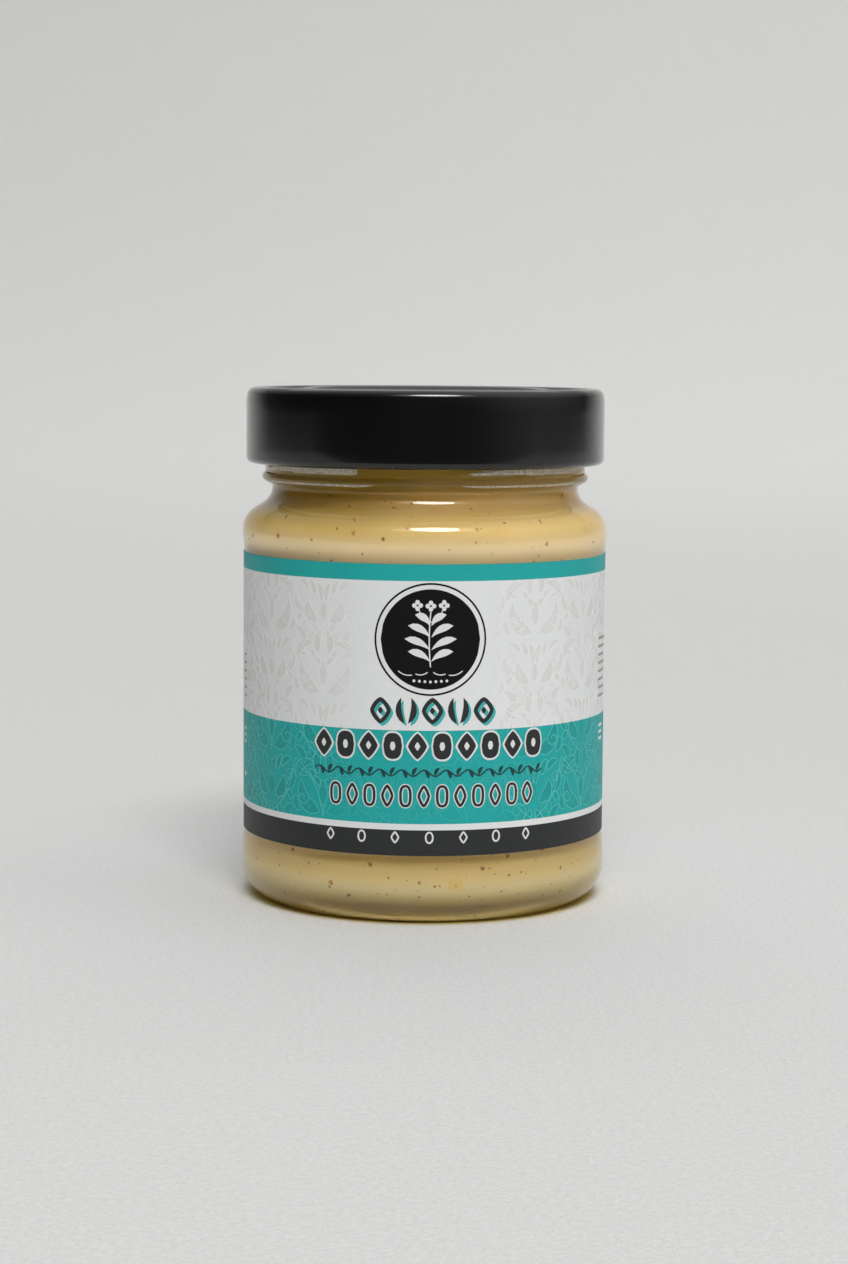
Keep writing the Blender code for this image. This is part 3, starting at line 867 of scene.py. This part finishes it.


# The floor: one sheet of pale, faintly toothed paper that runs flat under the jar and then curves up
# far behind it, so that no edge shows, and is painted darker far out to both sides as painted shade
# where the light falls off. A golden-brown painted shadow round the foot stands in for the contact
# shadow and the light that has come through the mustard and the base. It is not a part of the object.
SWEEP_FRONT = -0.55
SWEEP_BACK = 1.25
SWEEP_ROUND = 0.6
SWEEP_TOP = 1.1
SWEEP_HALF_WIDTH = 3.2
TOOTH_TINTS = ((0.62, 0.62, 0.612), (0.675, 0.675, 0.67))
BACK_TINTS = ((0.82, 0.82, 0.80), (0.90, 0.90, 0.885))
PAINTED_FALLOFF_TINT = (0.05, 0.05, 0.05)
PAINTED_FOOT_SHADOW_TINT = (0.36, 0.27, 0.065)

pale_paper = Finish("pale studio paper")
tooth = pale_paper.ease(pale_paper.cloud(1000, 3.0, 0.7), 0.3, 0.7)
floor_tint = pale_paper.mix(tooth, *TOOTH_TINTS)
back_tint = pale_paper.mix(pale_paper.ease(pale_paper.x, -0.5, 0.4), *BACK_TINTS)
from_jar = (pale_paper.x * pale_paper.x + pale_paper.y * pale_paper.y) ** 0.5
# Painted shadow: a golden-brown ring round the foot, for the contact shadow and the light through the jar.
foot_shadow_ring = pale_paper.ease(from_jar, 26 * MM, 28 * MM)
foot_shadow_ring = foot_shadow_ring * pale_paper.ease(from_jar, 33.2 * MM, 30.2 * MM)
floor_tint = pale_paper.mix(foot_shadow_ring, floor_tint, PAINTED_FOOT_SHADOW_TINT)
paper_tint = pale_paper.mix(pale_paper.ease(pale_paper.y, 0.1, 2.3), floor_tint, back_tint)
# Painted shade: the paper darkens far out to both sides, where the light falls off.
side_falloff = pale_paper.ease((pale_paper.x * pale_paper.x) ** 0.5, 0.9, 3.1)
pale_paper.shade({
    "Base Color": pale_paper.mix(side_falloff, paper_tint, PAINTED_FALLOFF_TINT),
    "Roughness": 0.85,
    "Specular IOR Level": 0.2,
    "Normal": pale_paper.bump(pale_paper.cloud(1300, 4.0, 0.65), 0.25 * MM),
})
sweep = bmesh.new()
curve = [(SWEEP_FRONT, 0.0), (SWEEP_BACK, 0.0)]
curve += arc(SWEEP_BACK, SWEEP_ROUND, SWEEP_ROUND, -90, 0) + [(SWEEP_BACK + SWEEP_ROUND, SWEEP_TOP)]
side_line = [sweep.verts.new((-SWEEP_HALF_WIDTH, along, height)) for along, height in curve]
side_edges = [sweep.edges.new(pair) for pair in zip(side_line, side_line[1:])]
grown = bmesh.ops.extrude_edge_only(sweep, edges=side_edges)["geom"]
bmesh.ops.translate(sweep, verts=verts_in(grown), vec=(2 * SWEEP_HALF_WIDTH, 0, 0))
bmesh.ops.remove_doubles(sweep, verts=sweep.verts, dist=0.01 * MM)
bmesh.ops.recalc_face_normals(sweep, faces=sweep.faces)
sweep_mesh = bpy.data.meshes.new("studio_sweep")
sweep.to_mesh(sweep_mesh)
sweep.free()
sweep_mesh.shade_smooth()
sweep_mesh.materials.append(pale_paper.material)
studio_sweep = bpy.data.objects.new("studio_sweep", sweep_mesh)
bpy.context.scene.collection.objects.link(studio_sweep)


# The light: a soft box with a brighter middle high above the front and a narrow strip high behind the
# jar, in a dim room that glows softly from the right, from behind and from above. Only a faint glow
# comes from low in front, so that the lid's side is dark under its streak.
def towards(azimuth, elevation):
    """The direction out from the jar. Azimuth runs to the right from the camera's side."""
    turn, lift = math.radians(azimuth), math.radians(elevation)
    return Vector((math.sin(turn) * math.cos(lift), -math.cos(turn) * math.cos(lift), math.sin(lift)))


def soft_box(name, azimuth, elevation, distance, width, height, radiance):
    """An oval area light aimed at the jar, with azimuth and elevation in degrees."""
    lamp = bpy.data.lights.new(name, "AREA")
    lamp.shape = "ELLIPSE"
    lamp.size, lamp.size_y = width, height
    area = math.pi * width * height / 4
    lamp.energy = radiance * math.pi * area
    box = bpy.data.objects.new(name, lamp)
    direction = towards(azimuth, elevation)
    box.location = Vector((0, 0, 0.05)) + direction * distance
    box.rotation_euler = direction.to_track_quat("Z", "Y").to_euler()
    box.visible_camera = False
    bpy.context.scene.collection.objects.link(box)


soft_box("key_rim", azimuth=7, elevation=49, distance=4.0, width=3.2, height=1.4, radiance=2.0)
soft_box("key_core", azimuth=8, elevation=49, distance=3.9, width=1.8, height=1.15, radiance=15.5)
soft_box("back_strip", azimuth=180, elevation=45, distance=3.0, width=3.0, height=0.35, radiance=2.0)

ROOM = 0.02
# Each glow has its azimuth, its elevation, how narrow it is and how bright.
GLOWS = [(75, 38, 5, 0.77), (180, 60, 4, 0.67), (0, 90, 3, 0.41), (0, 20, 8, 0.06)]
room = bpy.data.worlds.new("studio_room")
room.use_nodes = True
air = Nodes(room.node_tree, "Background")
outwards = air.add("ShaderNodeTexCoord")["Generated"]
glow = ROOM
for azimuth, elevation, sharpness, radiance in GLOWS:
    dot = {0: outwards, 1: towards(azimuth, elevation)}
    facing = air.add("ShaderNodeVectorMath", {"operation": "DOT_PRODUCT"}, dot)["Value"]
    glow = facing.maths("MAXIMUM", facing, 0.0) ** sharpness * radiance + glow
air.shade({"Color": (1.0, 1.0, 1.0), "Strength": glow})
bpy.context.scene.world = room
bpy.context.scene.view_settings.view_transform = "Standard"
bpy.context.scene.view_settings.look = "None"
cycles = bpy.context.scene.cycles
cycles.blur_glossy = 0.0
cycles.sample_clamp_indirect = 0.0
cycles.max_bounces = 24
cycles.diffuse_bounces = cycles.glossy_bounces = cycles.transmission_bounces = 16


# The camera: a short telephoto lens half a metre in front of the jar and a little higher than its lid,
# tipped slightly down and rolled by a fraction of a degree.
EYE = (0.0, -0.4975, 0.0999)
EYE_DIP = 5.927
EYE_ROLL = 0.397

eye = bpy.data.cameras.new("camera")
eye.sensor_fit = "VERTICAL"
eye.sensor_height = 36.0
eye.lens = 77.0
eye.clip_start = 0.01
camera = bpy.data.objects.new("camera", eye)
tilt = Matrix.Rotation(math.radians(90 - EYE_DIP), 4, "X")
roll = Matrix.Rotation(math.radians(EYE_ROLL), 4, "Z")
camera.matrix_world = Matrix.Translation(EYE) @ tilt @ roll
bpy.context.scene.collection.objects.link(camera)
bpy.context.scene.camera = camera
